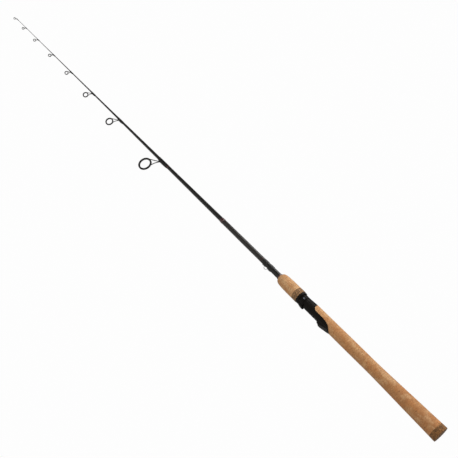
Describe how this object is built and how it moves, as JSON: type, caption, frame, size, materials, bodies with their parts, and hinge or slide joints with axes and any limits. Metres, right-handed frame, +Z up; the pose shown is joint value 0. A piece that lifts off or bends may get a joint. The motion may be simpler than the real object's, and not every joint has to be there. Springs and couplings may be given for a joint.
{
  "type": "spinning fishing rod",
  "caption": "Open-water spinning rod: tapered carbon blank with ring guides, full cork handle and a down-locking reel seat with a screw foregrip.",
  "frame": {"origin": "centre of the flat butt end of the handle", "axes": "+X along the blank from the butt to the tip, +Z up, the guides and the reel hang below the blank on the -Z side"},
  "size_m": [2.004, 0.0362, 0.07],
  "materials": {
    "blank_carbon": "glossy clear coat",
    "burl_cork": "satin, dark mixed cork",
    "cork": "sanded, matte",
    "seat_plastic": "fine matte",
    "arbor_foam": "matte",
    "liner_steel": "brushed",
    "nut_plastic": "satin",
    "dark_red_trim": "glossy metallic",
    "keeper_wire": "polished dark",
    "epoxy_wrap": "glossy epoxy over black thread",
    "butt_wrap": "glossy epoxy over dark thread",
    "red_thread": "glossy epoxy over dark red thread",
    "guide_frame_steel": "dark polished",
    "guide_ceramic": "polished"
  },
  "bodies": {
    "rod": {"blank": "blank_carbon", "butt_burl_ring": "burl_cork", "rear_grip_cork": "cork", "seat_body": "seat_plastic", "seat_arbor_rear": "arbor_foam", "seat_arbor_middle": "arbor_foam", "seat_arbor_front": "arbor_foam", "hook_keeper": "keeper_wire", "keeper_wrap_rear": "epoxy_wrap", "keeper_wrap_front": "epoxy_wrap", "butt_wrap": "butt_wrap", "trim_band": "dark_red_trim", "guide_7_trim": "red_thread", "tip_top_frame": "guide_frame_steel", "tip_top_ring": "guide_ceramic", "tip_wrap": "epoxy_wrap", "guide_1_frame": "guide_frame_steel", "guide_1_ring": "guide_ceramic", "guide_1_wrap": "epoxy_wrap", "guide_2_frame": "guide_frame_steel", "guide_2_ring": "guide_ceramic", "guide_2_wrap": "epoxy_wrap", "guide_3_frame": "guide_frame_steel", "guide_3_ring": "guide_ceramic", "guide_3_wrap": "epoxy_wrap", "guide_4_frame": "guide_frame_steel", "guide_4_ring": "guide_ceramic", "guide_4_wrap": "epoxy_wrap", "guide_5_frame": "guide_frame_steel", "guide_5_ring": "guide_ceramic", "guide_5_wrap": "epoxy_wrap", "guide_6_frame": "guide_frame_steel", "guide_6_ring": "guide_ceramic", "guide_6_wrap": "epoxy_wrap", "guide_7_frame": "guide_frame_steel", "guide_7_ring": "guide_ceramic", "guide_7_wrap": "epoxy_wrap"},
    "hood": {"sliding_hood": "seat_plastic", "hood_liner_band": "liner_steel"},
    "foregrip": {"lock_nut": "nut_plastic", "foregrip_burl_ring": "burl_cork", "foregrip_cork": "cork", "foregrip_nose_ring": "dark_red_trim"}
  },
  "joints": [
    {"name": "hood_slide", "type": "slide", "parent": "rod", "child": "hood", "axis": [1, 0, 0], "range_m": [0, 0.016]},
    {"name": "foregrip_turn", "type": "hinge", "parent": "hood", "child": "foregrip", "pos_m": [0.342, 0, 0], "axis": [1, 0, 0], "range_deg": [0, 2880]}
  ],
  "couplings": [
    {"joint": "foregrip_turn", "follows": "hood_slide", "rad_per_m": 3141.6}
  ]
}
